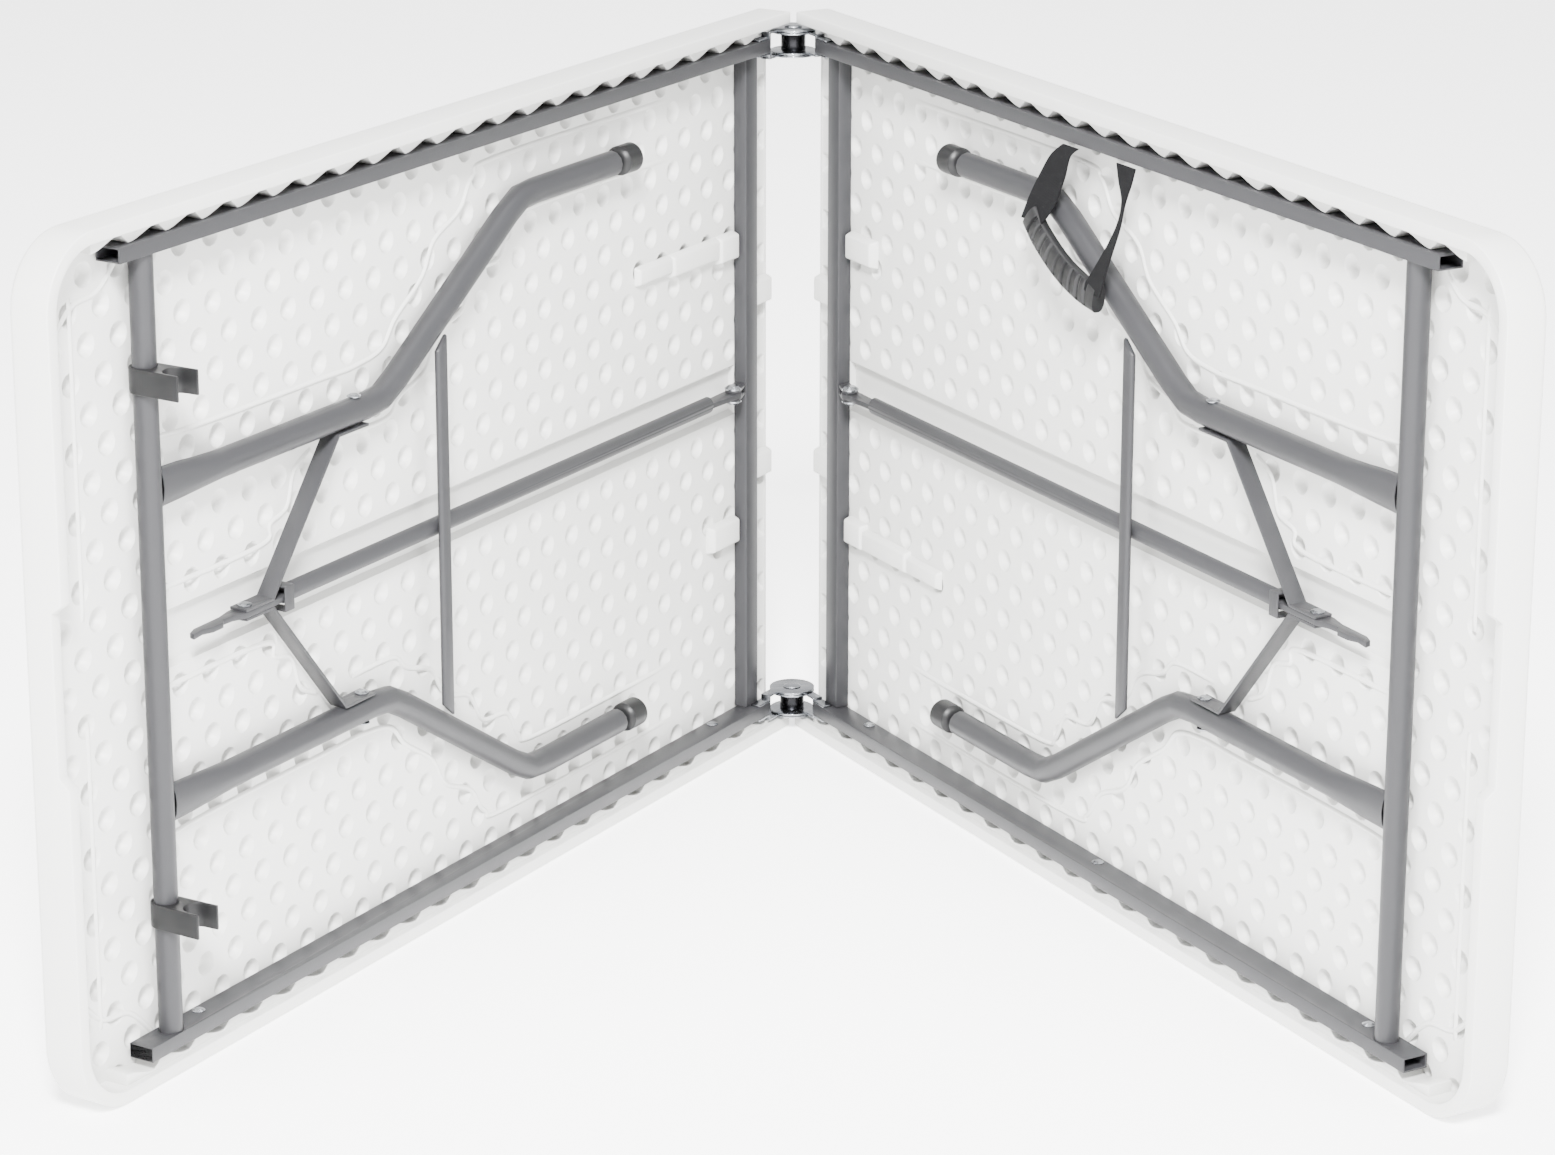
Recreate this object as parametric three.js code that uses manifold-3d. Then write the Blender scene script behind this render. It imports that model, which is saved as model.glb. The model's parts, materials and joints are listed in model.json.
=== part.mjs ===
// A fold-in-half table with a blow-moulded top, standing half open on its long edges.
// Millimetres, +Z up along the fold hinge. Each half is built in its own frame:
// X runs from the hinge line to the outer end, Y is the depth seen from the underside
// (0 on the hinge axis, minus towards the table top), Z runs across the table.
import * as THREE from "three";
import { mergeVertices } from "three/addons/utils/BufferGeometryUtils.js";
import Module from "manifold-3d";

const wasm = await Module();
wasm.setup();

// Overall sizes
const halfLength = 1150;
const tableWidth = 760;
const tableHeight = 740;
const halfDepth = 44;
const restOpening = 60;
const gap = 0.3;

// Moulded top
const rimDrop = 2;
const skirtWall = 12;
const railFloorGap = 2;
const capFloorGap = 0.1;
const cornerRadius = 62;
const edgeBevel = 6;
const foldEdgeGap = 1.5;
const notchLength = 142;
const notchDepth = 11;
const notchSlope = 12;
const grooveHalfWidth = 23;
const grooveDepth = 5;
const pivotChannelDepth = 3;
const pivotChannelGap = 6.5;
const tabLength = 30;
const tabRise = 9.5;
const tabFromMiddle = 92;
const longBossReach = 250;
const shortBossReach = 120;
const bossFromMiddle = 150;

// Side rails and fold-end tube
const railDepth = 25;
const railHeight = 13.3;
const tubeWall = 1.5;
const pinClearance = 1.55;
const railFront = -4;
const railStart = 38;
const railOverhang = 41;
const foldTubeWidth = 22;
const foldTubeDepth = 14.7;
const foldTubeStart = 43;

// Fold hinges
const eyeRadius = 23.5;
const pinRadius = 4;
const leafThickness = 2;
const eyeFromRail = 2.65;
const leafReach = 20;
const leafTongueDepth = 10.5;
const leafTubeGap = 0.95;
const barrelRadius = 12.5;
const pinHeadRadius = 9;
const pinHeadHeight = 1.6;

// Leg frame
const pivotRadius = 10.5;
const pivotTubeInRail = 4;
const pivotFromEnd = 135;
const legRadius = 12.3;
const legWall = 1.2;
const legSpreadInner = 140;
const legFromEdge = 98;
const bendFromRivet = 39;
const legSlopeRun = 222;
const legBendRadius = 60;
const flareLength = 95;
const flareSpread = 1.45;
const flareThin = 0.62;
const braceFromBend = 80;
const braceWidth = 16;
const braceThickness = 6.2;
const braceArmGap = 1.8;
const capWall = 1.8;
const capLength = 26;
const capCrown = 5;

// Brace arm, elbow and straps
const armPivotFromTube = 25;
const strapPivotFromPivot = 286;
const armTubeHeight = 17;
const armTubeDepth = 14;
const armTubeDrop = 1.5;
const bladeThickness = 5;
const bladeWidth = 18;
const bladeTail = 78;
const armEndLength = 46;
const strapThickness = 2.5;
const strapWidth = 18;
const strapElbowLength = 30;
const strapLegLength = 34;
const elbowSetback = 54;
const rivetRadius = 3;
const rivetHeadRadius = 6.5;
const rivetHeadHeight = 2.2;
const boltRadius = 3.7;
const boltHeadRadius = 8.5;
const ringFromStrapBend = 19;
const ringLength = 13;
const ringWall = 1.5;
const ringSideGap = 1.5;
const ringLowGap = 3.5;
const ringHighGap = 1;

// Clips that hold the folded halves together
const clipFromEdges = [144, 143];
const clipWidth = 22;
const clipWall = 2.6;
const clipClearance = 1;
const clipPastTube = 12;

// Screws in the rails
const screwRadius = 6;
const screwHeadHeight = 2;
const screwFromRailStart = 88;
const screwFromRailEnd = { a: 84, b: 72 };
const middleScrewFromRailStart = { a: [], b: [518] };

// Carry handle under the top rail of half b
const webbingThickness = 1.5;
const webbingTops = [
  [494, 528],
  [592, 616],
];
const gripReach = [462, 586];
const gripDrop = [122, 166];
const gripRadius = 9;
const gripLegGap = 1.2;

// Worked out from the sizes above
const railMid = railFront - railDepth / 2;
const capRadius = legRadius + gap + capWall;
const floorDepth = railMid - Math.max(railDepth / 2 + railFloorGap, capRadius + capFloorGap);
const pivotX = halfLength - pivotFromEnd;
const pivotChannelHalfWidth = pivotRadius + pivotChannelGap;
const midZ = tableWidth / 2;
const innerEyeFrom = railHeight / 2 + eyeFromRail;
const outerEyeFrom = innerEyeFrom + leafThickness + 0.6;
const pinReach = outerEyeFrom + leafThickness + gap + pinHeadHeight;
const railSetback = skirtWall + pinClearance + pinReach - railHeight / 2;
const railTop = railSetback + railHeight;
const pivotTubeEnd = railTop - tubeWall - pivotTubeInRail;
const footX = pivotX - (tableHeight - (halfDepth + railMid));
const legInnerRun = strapPivotFromPivot + bendFromRivet;
const legSpreadOuter = tableWidth / 2 - legFromEdge;
const braceFromPivot = legInnerRun + braceFromBend;
const braceDepth = railMid - armTubeDrop + armTubeDepth / 2 + braceArmGap + braceThickness / 2;
const armPivotFromHinge = foldTubeStart + foldTubeWidth + armPivotFromTube;
const strapPivotX = pivotX - strapPivotFromPivot;
const armSpan = pivotX - armPivotFromHinge;
const strapSpan = strapPivotX - armPivotFromHinge;
const openSpan = Math.hypot(armSpan, strapPivotFromPivot);
const armLength = (openSpan + strapSpan) / 2;
const elbowX = armPivotFromHinge + armLength;
const strapInnerZ = bladeThickness / 2 + gap;
const strapOuterZ = legSpreadInner - legRadius - gap - strapThickness;
const ringSetback = strapElbowLength + ringFromStrapBend;
const ringSide = armTubeHeight / 2 + ringSideGap;
const ringLow = railMid - bladeWidth / 2 - ringLowGap;
const ringHigh = railMid + bladeWidth / 2 + ringHighGap;
const clipHeights = [clipFromEdges[0], tableWidth - clipFromEdges[1]];
const clipReach = clipPastTube - railMid;
const gripFrom = [gripReach[0], tableWidth - gripDrop[0]];
const gripTo = [gripReach[1], tableWidth - gripDrop[1]];
const gripDepth = railMid + legRadius + gripRadius + gripLegGap;
const screwPlaces = (side) => [
  railStart + screwFromRailStart,
  ...middleScrewFromRailStart[side].map((distance) => railStart + distance),
  pivotX + railOverhang - screwFromRailEnd[side],
];

// Materials
const finish = (color, roughness, metalness) =>
  new THREE.MeshStandardMaterial({ color, roughness, metalness });
const finishes = {
  plastic: () => finish(0xeeeeec, 0.55, 0),
  steel: () => finish(0x77777b, 0.5, 0.3),
  zinc: () => finish(0xb9bcc0, 0.25, 0.9),
  black: () => finish(0x202023, 0.6, 0),
  webbing: () => finish(0x26262b, 0.9, 0),
};

// Solids
const toSolid = (geometry) => {
  const plain = geometry.clone();
  plain.deleteAttribute("normal");
  plain.deleteAttribute("uv");
  const merged = mergeVertices(plain, 1e-4);
  return new wasm.Manifold(
    new wasm.Mesh({
      numProp: 3,
      vertProperties: new Float32Array(merged.attributes.position.array),
      triVerts: new Uint32Array(merged.index.array),
    }),
  );
};

const toGeometry = (solid) => {
  const mesh = solid.getMesh();
  const geometry = new THREE.BufferGeometry();
  geometry.setAttribute("position", new THREE.BufferAttribute(mesh.vertProperties, 3));
  geometry.setIndex(new THREE.BufferAttribute(mesh.triVerts, 1));
  const faceted = geometry.toNonIndexed();
  faceted.computeVertexNormals();
  return faceted;
};

const join = (...parts) => parts.map(toSolid).reduce((sum, part) => sum.add(part));
const cut = (solid, ...tools) => tools.map(toSolid).reduce((rest, tool) => rest.subtract(tool), solid);

const block = (x0, x1, y0, y1, z0, z1) =>
  new THREE.BoxGeometry(x1 - x0, y1 - y0, z1 - z0)
    .translate((x0 + x1) / 2, (y0 + y1) / 2, (z0 + z1) / 2);

// Maps a flat outline's two axes and its thickness onto the half's own axes.
const axes = {
  x: new THREE.Matrix4().set(0, 0, 1, 0, 1, 0, 0, 0, 0, 1, 0, 0, 0, 0, 0, 1), // outline (y, z)
  y: new THREE.Matrix4().set(0, 1, 0, 0, 0, 0, 1, 0, 1, 0, 0, 0, 0, 0, 0, 1), // outline (z, x)
  z: new THREE.Matrix4(), // outline (x, y)
};
const extrude = (axis, shape, from, to, options = {}) =>
  new THREE.ExtrudeGeometry(shape, { depth: to - from, bevelEnabled: false, curveSegments: 10, ...options })
    .translate(0, 0, from)
    .applyMatrix4(axes[axis]);

const outline = (points) => new THREE.Shape(points.map(([x, y]) => new THREE.Vector2(x, y)));
const circle = (radius, x = 0, y = 0) => {
  const shape = new THREE.Shape();
  shape.absarc(x, y, radius, 0, Math.PI * 2, false);
  return shape;
};
const rectangle = (x0, x1, y0, y1) => outline([[x0, y0], [x1, y0], [x1, y1], [x0, y1]]);

// A turned piece standing along Z, from pairs of radius and height.
const turned = (pairs, x, y, sides = 20) =>
  new THREE.LatheGeometry(pairs.map(([r, z]) => new THREE.Vector2(r, z)), sides)
    .rotateX(Math.PI / 2)
    .translate(x, y, 0);

// The moulded top's outline in (z, x), grown or shrunk by an inset.
const topOutline = (inset, foldEnd) => {
  const far = halfLength - inset;
  const low = inset;
  const high = tableWidth - inset;
  const radius = Math.max(cornerRadius - inset, 1);
  const shape = new THREE.Shape();
  shape.moveTo(low, foldEnd);
  shape.lineTo(high, foldEnd);
  shape.lineTo(high, far - radius);
  shape.absarc(high - radius, far - radius, radius, 0, Math.PI / 2, false);
  shape.lineTo(low + radius, far);
  shape.absarc(low + radius, far - radius, radius, Math.PI / 2, Math.PI, false);
  shape.lineTo(low, foldEnd);
  return shape;
};

const makeTop = (side) => {
  const turn = (z0, z1) => (side === "a" ? [z0, z1] : [tableWidth - z1, tableWidth - z0]);
  const face = topOutline(edgeBevel, foldEdgeGap + edgeBevel);
  const lower = extrude("y", face, edgeBevel - halfDepth, floorDepth, {
    bevelEnabled: true,
    bevelSize: edgeBevel,
    bevelThickness: edgeBevel,
    bevelSegments: 2,
  });
  const upper = extrude("y", topOutline(0, foldEdgeGap), edgeBevel - halfDepth + 1, -rimDrop);
  const pocket = extrude("y", topOutline(skirtWall, foldEdgeGap - 5), floorDepth, 20);
  const notchLow = midZ - notchLength / 2;
  const notchHigh = midZ + notchLength / 2;
  const notch = extrude(
    "x",
    outline([
      [-rimDrop - notchDepth, notchLow + notchSlope],
      [20, notchLow - notchSlope],
      [20, notchHigh + notchSlope],
      [-rimDrop - notchDepth, notchHigh - notchSlope],
    ]),
    halfLength - skirtWall - 5,
    halfLength + 5,
  );
  const tubeEnd = foldTubeStart + foldTubeWidth + gap;
  const groove = block(
    tubeEnd,
    pivotX - pivotChannelHalfWidth - 6,
    floorDepth - grooveDepth,
    floorDepth + 5,
    midZ - grooveHalfWidth,
    midZ + grooveHalfWidth,
  );
  const channel = block(
    pivotX - pivotChannelHalfWidth,
    pivotX + pivotChannelHalfWidth,
    floorDepth - pivotChannelDepth,
    floorDepth + 5,
    railTop,
    tableWidth - railTop,
  );
  const body = cut(join(lower, upper), pocket, notch, groove, channel);
  const tabs = [-1, 1].map((sign) => {
    const low = midZ + sign * tabFromMiddle - tabLength / 2;
    const reach = foldTubeStart - gap;
    return block(foldEdgeGap, reach, floorDepth - 1, floorDepth + tabRise, low, low + tabLength);
  });
  const bossRange = (middle) => turn(middle - tabLength / 2, middle + tabLength / 2);
  const [longLow, longHigh] = bossRange(midZ + bossFromMiddle);
  const [shortLow, shortHigh] = bossRange(midZ - bossFromMiddle);
  const bosses = [
    block(tubeEnd, longBossReach, floorDepth - 1, floorDepth + tabRise, longLow, longHigh),
    block(tubeEnd, shortBossReach, floorDepth - 1, floorDepth + tabRise, shortLow, shortHigh),
  ];
  return [...tabs, ...bosses].map(toSolid).reduce((sum, boss) => sum.add(boss), body);
};

const makeRail = (bottom) => {
  const z0 = bottom ? railSetback : tableWidth - railTop;
  const back = railFront - railDepth;
  const section = rectangle(back, railFront, z0, z0 + railHeight);
  section.holes.push(
    rectangle(back + tubeWall, railFront - tubeWall, z0 + tubeWall, z0 + railHeight - tubeWall),
  );
  const tube = extrude("x", section, railStart, pivotX + railOverhang);
  const deep = pivotTubeEnd - gap;
  const bore = circle(pivotRadius + gap, pivotX, railMid);
  const hole = bottom
    ? extrude("z", bore, deep, railTop + 1)
    : extrude("z", bore, tableWidth - railTop - 1, tableWidth - deep);
  return cut(toSolid(tube), hole);
};

const makeFoldTube = () => {
  const back = floorDepth + gap;
  const x1 = foldTubeStart + foldTubeWidth;
  const section = rectangle(foldTubeStart, x1, back, back + foldTubeDepth);
  section.holes.push(
    rectangle(foldTubeStart + tubeWall, x1 - tubeWall, back + tubeWall, back + foldTubeDepth - tubeWall),
  );
  return toSolid(extrude("z", section, railTop + gap, tableWidth - railTop - gap));
};

// A hinge leaf: two eyes, stepped in to the rail's faces and joined by a web across its end.
const makeLeaf = (bottom, outer) => {
  const middle = bottom ? railSetback + railHeight / 2 : tableWidth - railSetback - railHeight / 2;
  const eyeFrom = outer ? outerEyeFrom : innerEyeFrom;
  const railFrom = railHeight / 2 + gap;
  const low = floorDepth + gap + foldTubeDepth + leafTubeGap;
  const high = low + leafTongueDepth;
  const webX = railStart - gap - leafThickness;
  const sides = [-1, 1].map((side) => {
    const slab = (shape, from, to) =>
      side < 0
        ? extrude("z", shape, middle - to, middle - from)
        : extrude("z", shape, middle + from, middle + to);
    const bar = (x0, x1, from, to) => slab(rectangle(x0, x1, low, high), from, to);
    const eyeTo = eyeFrom + leafThickness;
    const eye = slab(circle(eyeRadius), eyeFrom, eyeTo);
    const arm = bar(eyeRadius * 0.6, webX + leafThickness, eyeFrom, eyeTo);
    const step = bar(webX, webX + leafThickness, railFrom - 1, Math.max(eyeTo, railFrom + leafThickness));
    const tongue = bar(webX, railStart + leafReach, railFrom, railFrom + leafThickness);
    const hole = slab(circle(pinRadius + gap), eyeFrom - 1, eyeTo + 1);
    return cut(join(eye, arm, step, tongue), hole);
  });
  const web = block(webX, webX + leafThickness, low, high, middle - railFrom, middle + railFrom);
  return sides[0].add(sides[1]).add(toSolid(web));
};

// A hinge pin with its wide middle, which keeps the two pairs of eyes apart.
const makePin = (bottom) => {
  const middle = bottom ? railSetback + railHeight / 2 : tableWidth - railSetback - railHeight / 2;
  const stack = outerEyeFrom + leafThickness + gap;
  const half = [
    [pinHeadRadius - 2.5, stack + pinHeadHeight],
    [pinHeadRadius, stack + 0.6],
    [pinHeadRadius, stack],
    [pinRadius, stack],
    [pinRadius, innerEyeFrom - gap],
    [barrelRadius, innerEyeFrom - gap],
  ];
  const pairs = [
    [0, -stack - pinHeadHeight],
    ...half.map(([r, z]) => [r, -z]),
    ...half.map(([r, z]) => [r, z]).reverse(),
    [0, stack + pinHeadHeight],
  ];
  return toSolid(turned(pairs, 0, 0, 24).translate(0, 0, middle));
};

const makePivotTube = () => {
  const ring = circle(pivotRadius, pivotX, railMid);
  ring.holes.push(circle(pivotRadius - tubeWall, pivotX, railMid));
  return toSolid(extrude("z", ring, pivotTubeEnd, tableWidth - pivotTubeEnd, { curveSegments: 14 }));
};

// The centre line of one leg tube, from the pivot tube to the foot, with rounded bends.
const legLine = (side) => {
  const point = (x, spread) => new THREE.Vector3(x, railMid, midZ + side * spread);
  const start = point(pivotX - pivotRadius - gap, legSpreadInner);
  const first = point(pivotX - legInnerRun, legSpreadInner);
  const second = point(pivotX - legInnerRun - legSlopeRun, legSpreadOuter);
  const end = point(footX + capCrown + 2, legSpreadOuter);
  const line = new THREE.CurvePath();
  const bend = (from, corner, to) => {
    const into = corner.clone().sub(from).normalize();
    const away = to.clone().sub(corner).normalize();
    const cutBack = legBendRadius * Math.tan(into.angleTo(away) / 2);
    return [corner.clone().addScaledVector(into, -cutBack), corner.clone().addScaledVector(away, cutBack)];
  };
  const [a0, a1] = bend(start, first, second);
  const [b0, b1] = bend(first, second, end);
  const straight = (p, q, parts) => {
    for (let i = 0; i < parts; i++) {
      line.add(new THREE.LineCurve3(p.clone().lerp(q, i / parts), p.clone().lerp(q, (i + 1) / parts)));
    }
  };
  straight(start, a0, 1);
  line.add(new THREE.QuadraticBezierCurve3(a0, first, a1));
  straight(a1, b0, 1);
  line.add(new THREE.QuadraticBezierCurve3(b0, second, b1));
  straight(b1, end, 1);
  return { line, end };
};

// A tube along a line in the leg's plane, with its section flattened towards the pivot tube.
const makeLeg = (side) => {
  const { line } = legLine(side);
  const ring = circle(legRadius);
  ring.holes.push(circle(legRadius - legWall));
  const steps = 28;
  const tube = new THREE.ExtrudeGeometry(ring, { steps, extrudePath: line, curveSegments: 6 });
  const spots = tube.attributes.position;
  const centreZ = midZ + side * legSpreadInner;
  const startX = pivotX - pivotRadius - gap;
  for (let i = 0; i < spots.count; i++) {
    const near = THREE.MathUtils.clamp(1 - (startX - spots.getX(i)) / flareLength, 0, 1);
    const share = near * near * (3 - 2 * near);
    const spread = 1 + (flareSpread - 1) * share;
    const thin = 1 + (flareThin - 1) * share;
    spots.setZ(i, centreZ + (spots.getZ(i) - centreZ) * spread);
    spots.setY(i, railMid + (spots.getY(i) - railMid) * thin);
  }
  const hole = extrude(
    "z",
    circle(rivetRadius + gap, strapPivotX, railMid),
    centreZ - legRadius - 2,
    centreZ + legRadius + 2,
  );
  return cut(toSolid(tube), hole);
};

const makeCap = (side) => {
  const inner = legRadius + gap;
  const outer = capRadius;
  const floor = capCrown + 2 - gap;
  return toSolid(
    turned(
      [
        [0, 0],
        [outer * 0.55, 0.6],
        [outer * 0.85, 2],
        [outer, capCrown],
        [outer, capLength],
        [inner, capLength],
        [inner, floor],
        [0, floor],
      ],
      0,
      0,
      24,
    )
      .rotateY(-Math.PI / 2)
      .translate(footX, railMid, midZ + side * legSpreadOuter),
  );
};

const makeBrace = () => {
  const x = pivotX - braceFromPivot;
  const slope = (legSpreadOuter - legSpreadInner) / legSlopeRun;
  const clear = (legRadius + gap) * Math.hypot(1, slope);
  const reach = (at) => legSpreadInner + (pivotX - legInnerRun - at) * slope - clear;
  const x0 = x - braceWidth / 2;
  const x1 = x + braceWidth / 2;
  const bevel = 3;
  const shape = outline([
    [midZ - reach(x0) + bevel, x0 + bevel],
    [midZ + reach(x0) - bevel, x0 + bevel],
    [midZ + reach(x1) - bevel, x1 - bevel],
    [midZ - reach(x1) + bevel, x1 - bevel],
  ]);
  const y0 = braceDepth - braceThickness / 2;
  return toSolid(
    extrude("y", shape, y0 + bevel, y0 + braceThickness - bevel, {
      bevelEnabled: true,
      bevelSize: bevel,
      bevelThickness: bevel,
      bevelSegments: 2,
    }),
  );
};

const makeRivet = (x, y, z0, z1, radius = rivetRadius, head = rivetHeadRadius, rise = rivetHeadHeight) =>
  toSolid(
    turned(
      [
        [0, z0 - rise],
        [head * 0.6, z0 - rise],
        [head, z0 - rise * 0.4],
        [head, z0],
        [radius, z0],
        [radius, z1],
        [head, z1],
        [head, z1 + rise * 0.4],
        [head * 0.6, z1 + rise],
        [0, z1 + rise],
      ],
      x,
      y,
      16,
    ),
  );

// A rivet head lying on a strap's outer face.
const makeRivetHead = (x, side, face) => {
  const pairs = [
    [0, face],
    [rivetHeadRadius, face],
    [rivetHeadRadius, face + rivetHeadHeight * 0.4],
    [rivetHeadRadius * 0.6, face + rivetHeadHeight],
    [0, face + rivetHeadHeight],
  ].map(([r, z]) => [r, midZ + side * z]);
  return toSolid(turned(side < 0 ? pairs.reverse() : pairs, x, railMid, 16));
};

// Arm tube with its flat end at the fold-end bolt.
const makeArm = () => {
  const tubeStart = armPivotFromHinge + armEndLength;
  const tubeEnd = elbowX - elbowSetback;
  const tubeY = railMid - armTubeDrop;
  const oval = new THREE.Shape();
  oval.absellipse(tubeY, midZ, armTubeDepth / 2, armTubeHeight / 2, 0, Math.PI * 2, false);
  const tube = extrude("x", oval, tubeStart, tubeEnd, { curveSegments: 10 });
  const half = bladeThickness / 2;
  const endPlate = new THREE.Shape();
  endPlate.absarc(armPivotFromHinge, railMid, bladeWidth / 2, Math.PI / 2, Math.PI * 1.5, false);
  endPlate.lineTo(tubeStart + 12, tubeY - armTubeDepth / 2 + 1);
  endPlate.lineTo(tubeStart + 12, tubeY + armTubeDepth / 2 - 1);
  endPlate.lineTo(tubeStart - 10, railMid + bladeWidth / 2 - 3);
  const hole = circle(boltRadius + gap, armPivotFromHinge, railMid);
  endPlate.holes.push(hole);
  const plate = extrude("z", endPlate, midZ - half, midZ + half);
  const socket = block(
    tubeEnd - 22,
    tubeEnd + 5,
    tubeY - armTubeDepth / 2 + 2,
    tubeY + armTubeDepth / 2 - 2,
    midZ - half - gap,
    midZ + half + gap,
  );
  return cut(join(tube, plate), socket);
};

// Flat blade in the arm's end: it carries the elbow and ends in a tail with a raised stop.
const makeBlade = () => {
  const tubeEnd = elbowX - elbowSetback;
  const tubeY = railMid - armTubeDrop;
  const half = bladeWidth / 2;
  const tongue = armTubeDepth / 2 - 2 - gap;
  const shape = outline([
    [tubeEnd - 20, tubeY - tongue],
    [tubeEnd + gap, tubeY - tongue],
    [tubeEnd + gap + 5, railMid - half],
    [elbowX + 12, railMid - half],
    [elbowX + 30, railMid - half + 4],
    [elbowX + bladeTail - 12, railMid - half + 5],
    [elbowX + bladeTail - 2, railMid - half + 9],
    [elbowX + bladeTail, railMid - half + 15],
    [elbowX + bladeTail - 14, railMid - half + 13],
    [elbowX + bladeTail - 24, railMid + half - 1],
    [elbowX + bladeTail - 38, railMid + half - 1],
    [elbowX + bladeTail - 44, railMid + half - 6],
    [elbowX + 22, railMid + half - 5],
    [elbowX + 10, railMid + half],
    [tubeEnd + gap + 8, railMid + half],
    [tubeEnd + gap, tubeY + tongue],
    [tubeEnd - 20, tubeY + tongue],
  ]);
  shape.holes.push(circle(rivetRadius + gap, elbowX, railMid));
  return toSolid(extrude("z", shape, midZ - bladeThickness / 2, midZ + bladeThickness / 2));
};

// A strap from the leg's rivet in to the elbow: flat bar bent twice, standing on edge.
const makeStrap = (side) => {
  const inner = strapInnerZ;
  const outer = strapOuterZ;
  const t = strapThickness;
  const legEnd = strapPivotX + strapLegLength;
  const elbowEnd = elbowX - strapElbowLength;
  const run = new THREE.Vector2(elbowEnd - legEnd, inner - outer);
  const lift = t * Math.tan(run.angleTo(new THREE.Vector2(1, 0)) / 2);
  const flat = outline([
    [inner, elbowX + strapWidth / 2],
    [inner, elbowEnd],
    [outer, legEnd],
    [outer, strapPivotX - strapWidth / 2],
    [outer + t, strapPivotX - strapWidth / 2],
    [outer + t, legEnd + lift],
    [inner + t, elbowEnd + lift],
    [inner + t, elbowX + strapWidth / 2],
  ].map(([z, x]) => [midZ + side * z, x]));
  const low = railMid - strapWidth / 2;
  const bar = toSolid(extrude("y", flat, low, low + strapWidth));
  const drill = (x, z) =>
    extrude("z", circle(rivetRadius + gap, x, railMid), midZ + side * z - 6, midZ + side * z + 6);
  return cut(bar, drill(elbowX, inner), drill(strapPivotX, outer));
};

const makeRing = () => {
  const x = elbowX - ringSetback;
  const side = ringSide + ringWall;
  const section = rectangle(ringLow - ringWall, ringHigh + ringWall, midZ - side, midZ + side);
  section.holes.push(rectangle(ringLow, ringHigh, midZ - ringSide, midZ + ringSide));
  return toSolid(extrude("x", section, x - ringLength / 2, x + ringLength / 2));
};

// Bracket on the fold-end tube with two ears for the arm's bolt.
const makeBracket = () => {
  const x0 = foldTubeStart + foldTubeWidth + gap;
  const ear = (side) => {
    const shape = new THREE.Shape();
    shape.moveTo(x0, floorDepth + gap + 1);
    shape.lineTo(armPivotFromHinge, railMid - bladeWidth / 2 + 1);
    shape.absarc(armPivotFromHinge, railMid, bladeWidth / 2 - 1, -Math.PI / 2, Math.PI / 2, false);
    shape.lineTo(x0, floorDepth + foldTubeDepth - 1);
    shape.holes.push(circle(boltRadius + gap, armPivotFromHinge, railMid));
    const near = bladeThickness / 2 + gap;
    return side > 0
      ? extrude("z", shape, midZ + near, midZ + near + strapThickness)
      : extrude("z", shape, midZ - near - strapThickness, midZ - near);
  };
  const reach = bladeThickness / 2 + gap + strapThickness;
  const low = floorDepth + gap + 1;
  const high = floorDepth + foldTubeDepth - 1;
  const web = block(x0, x0 + strapThickness, low, high, midZ - reach, midZ + reach);
  return join(ear(1), ear(-1), web);
};

// A moulded clip: a ring round its own pivot tube and a fork for the other half's.
const makeClip = (z) => {
  const ringInner = pivotRadius + gap;
  const ringOuter = ringInner + clipWall;
  const forkRadius = pivotRadius + clipClearance;
  const forkY = -railMid;
  const body = new THREE.Shape();
  body.absarc(pivotX, railMid, ringOuter, Math.PI, Math.PI * 2, false);
  body.lineTo(pivotX + ringOuter + 1, clipReach);
  body.lineTo(pivotX + forkRadius + 0.6, clipReach);
  body.lineTo(pivotX + forkRadius, forkY);
  body.absarc(pivotX, forkY, forkRadius, 0, Math.PI, true);
  body.lineTo(pivotX - forkRadius - 0.6, clipReach);
  body.lineTo(pivotX - ringOuter - 1, clipReach);
  body.holes.push(circle(ringInner, pivotX, railMid));
  return toSolid(extrude("z", body, z - clipWidth / 2, z + clipWidth / 2));
};

const makeScrew = (x) => {
  const top = railTop + gap;
  return toSolid(
    turned(
      [
        [0, top],
        [screwRadius, top],
        [screwRadius, top + 0.5],
        [screwRadius * 0.55, top + screwHeadHeight],
        [0, top + screwHeadHeight],
      ],
      x,
      railMid - 4,
      14,
    ),
  );
};

// Webbing and grip of the carry handle, hanging in front of the half's underside.
const makeWebbing = (index) => {
  const along = new THREE.Vector2(gripTo[0] - gripFrom[0], gripTo[1] - gripFrom[1]);
  const run = along.length();
  along.normalize();
  const lift = gripRadius + 0.6;
  const onGrip = (distance) => [
    gripFrom[1] + along.y * distance + along.x * lift,
    gripFrom[0] + along.x * distance - along.y * lift,
  ];
  const top = tableWidth - railTop - 2;
  const [x0, x1] = webbingTops[index];
  const [d0, d1] = index === 0 ? [2, 34] : [run - 26, run - 2];
  const shape = outline([[top, x0], [top, x1], onGrip(d1), onGrip(d0)]);
  return toSolid(extrude("y", shape, -webbingThickness / 2, webbingThickness / 2));
};
const makeGrip = () => {
  const line = new THREE.LineCurve3(
    new THREE.Vector3(gripFrom[0], gripDepth, gripFrom[1]),
    new THREE.Vector3(gripTo[0], gripDepth, gripTo[1]),
  );
  const bar = { steps: 6, extrudePath: line, curveSegments: 8 };
  return toSolid(new THREE.ExtrudeGeometry(circle(gripRadius), bar));
};

// Assembly
const named = (name, solid, material) => {
  const mesh = new THREE.Mesh(toGeometry(solid), finishes[material]());
  mesh.name = name;
  return mesh;
};

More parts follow.
